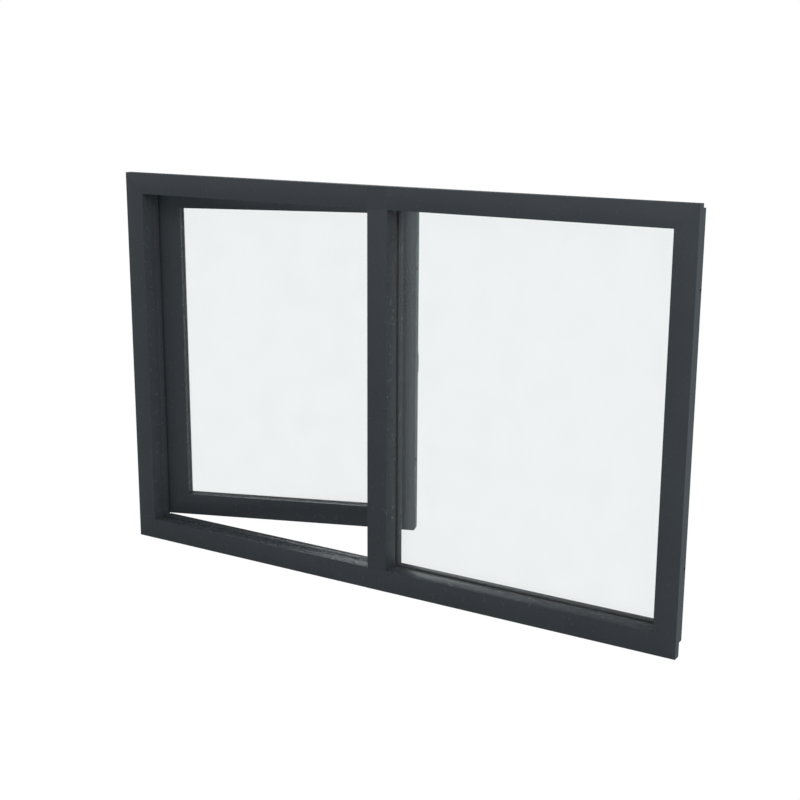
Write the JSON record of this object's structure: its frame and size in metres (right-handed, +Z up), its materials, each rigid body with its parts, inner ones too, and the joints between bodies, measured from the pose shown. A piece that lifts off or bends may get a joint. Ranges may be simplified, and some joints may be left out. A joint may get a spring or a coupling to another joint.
{
  "type": "casement window",
  "caption": "Aluminium casement window with an inward-opening side-hung sash beside a fixed glazed light, in an outer frame with a wall flange.",
  "frame": {"origin": "middle of the flat underside of the frame body, where the window stands on the wall opening's sill", "axes": "+X along the width towards the fixed light, +Y from outdoors to indoors, +Z up"},
  "size_m": [1.5, 0.3758, 0.96],
  "materials": {
    "paint": "satin anthracite powder coat",
    "glass": "clear",
    "rubber": "matte dark grey",
    "spacer_plastic": "dark grey",
    "block_plastic": "dark grey",
    "raw_aluminium": "mill",
    "steel": "zinc plated"
  },
  "bodies": {
    "frame": {"head": "paint", "sill": "paint", "left_jamb": "paint", "right_jamb": "paint", "mullion": "paint", "stop_head": "paint", "stop_jamb": "paint", "stop_sill": "paint", "stop_seal": "rubber", "sill_seal": "rubber", "frame_cleats": "raw_aluminium", "mullion_cleats": "raw_aluminium", "mullion_screws": "steel", "fixed_outer_pane": "glass", "fixed_inner_pane": "glass", "fixed_spacer": "spacer_plastic", "fixed_bead_bottom": "paint", "fixed_bead_right": "paint", "fixed_bead_top": "paint", "fixed_bead_left": "paint", "fixed_outer_gasket": "rubber", "fixed_inner_gasket": "rubber", "fixed_setting_blocks": "block_plastic", "hinge_frame_leaves": "paint", "hinge_pins": "steel", "hinge_frame_screws": "steel", "keeps": "steel", "keep_screws": "steel"},
    "sash": {"sash_bottom_rail": "paint", "sash_lock_stile": "paint", "sash_top_rail": "paint", "sash_hinge_stile": "paint", "sash_cleats": "raw_aluminium", "sash_outer_pane": "glass", "sash_inner_pane": "glass", "sash_spacer": "spacer_plastic", "sash_bead_bottom": "paint", "sash_bead_right": "paint", "sash_bead_top": "paint", "sash_bead_left": "paint", "sash_outer_gasket": "rubber", "sash_inner_gasket": "rubber", "sash_setting_blocks": "block_plastic", "hinge_sash_leaves": "paint", "hinge_bushes": "block_plastic", "hinge_sash_screws": "steel", "gearbox": "steel", "handle_base": "paint", "handle_base_screws": "steel"},
    "handle": {"handle_grip": "paint", "spindle": "steel", "pinion": "steel"},
    "lock": {"lock_rod": "steel", "lock_cams": "steel"}
  },
  "joints": [
    {"name": "sash_swing", "type": "hinge", "parent": "frame", "child": "sash", "pos_m": [-0.7168, 0.037, 0], "axis": [0, 0, 1], "range_deg": [-20, 70]},
    {"name": "handle_turn", "type": "hinge", "parent": "sash", "child": "handle", "pos_m": [-0.09779, 0.2756, 0.474], "axis": [0.342, -0.9397, 0], "range_deg": [0, 90]},
    {"name": "lock_slide", "type": "slide", "parent": "sash", "child": "lock", "axis": [0, 0, 1], "range_m": [0, 0.0181]}
  ],
  "couplings": [
    {"joint": "lock_slide", "follows": "handle_turn", "m_per_rad": 0.011459}
  ]
}
